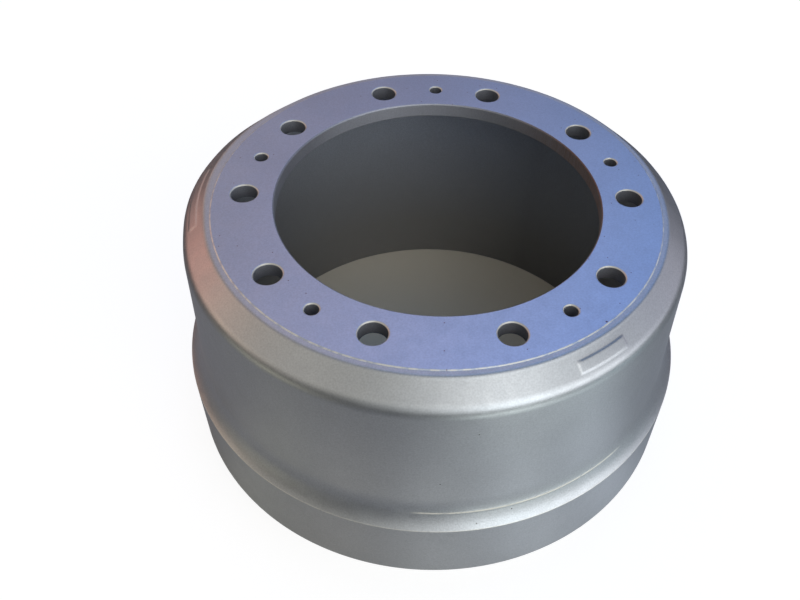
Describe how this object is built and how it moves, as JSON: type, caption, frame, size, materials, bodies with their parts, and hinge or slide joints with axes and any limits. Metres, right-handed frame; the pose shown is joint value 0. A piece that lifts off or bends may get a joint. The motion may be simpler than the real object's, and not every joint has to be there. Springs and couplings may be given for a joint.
{
  "type": "brake drum",
  "caption": "Deep cast-iron brake drum with a drilled mounting flange, sloped shoulder and thick stiffening ring, painted silver.",
  "frame": {"origin": "on the drum's axis, at the level of the open end that the drum stands on", "axes": "+Z along the axis, out of the wheel face; +X through the middle of a wheel stud hole"},
  "size_m": [0.4722, 0.4722, 0.254],
  "materials": {
    "painted_cast_iron": "satin"
  },
  "bodies": {
    "root": {"brake_drum": "painted_cast_iron"}
  },
  "joints": []
}
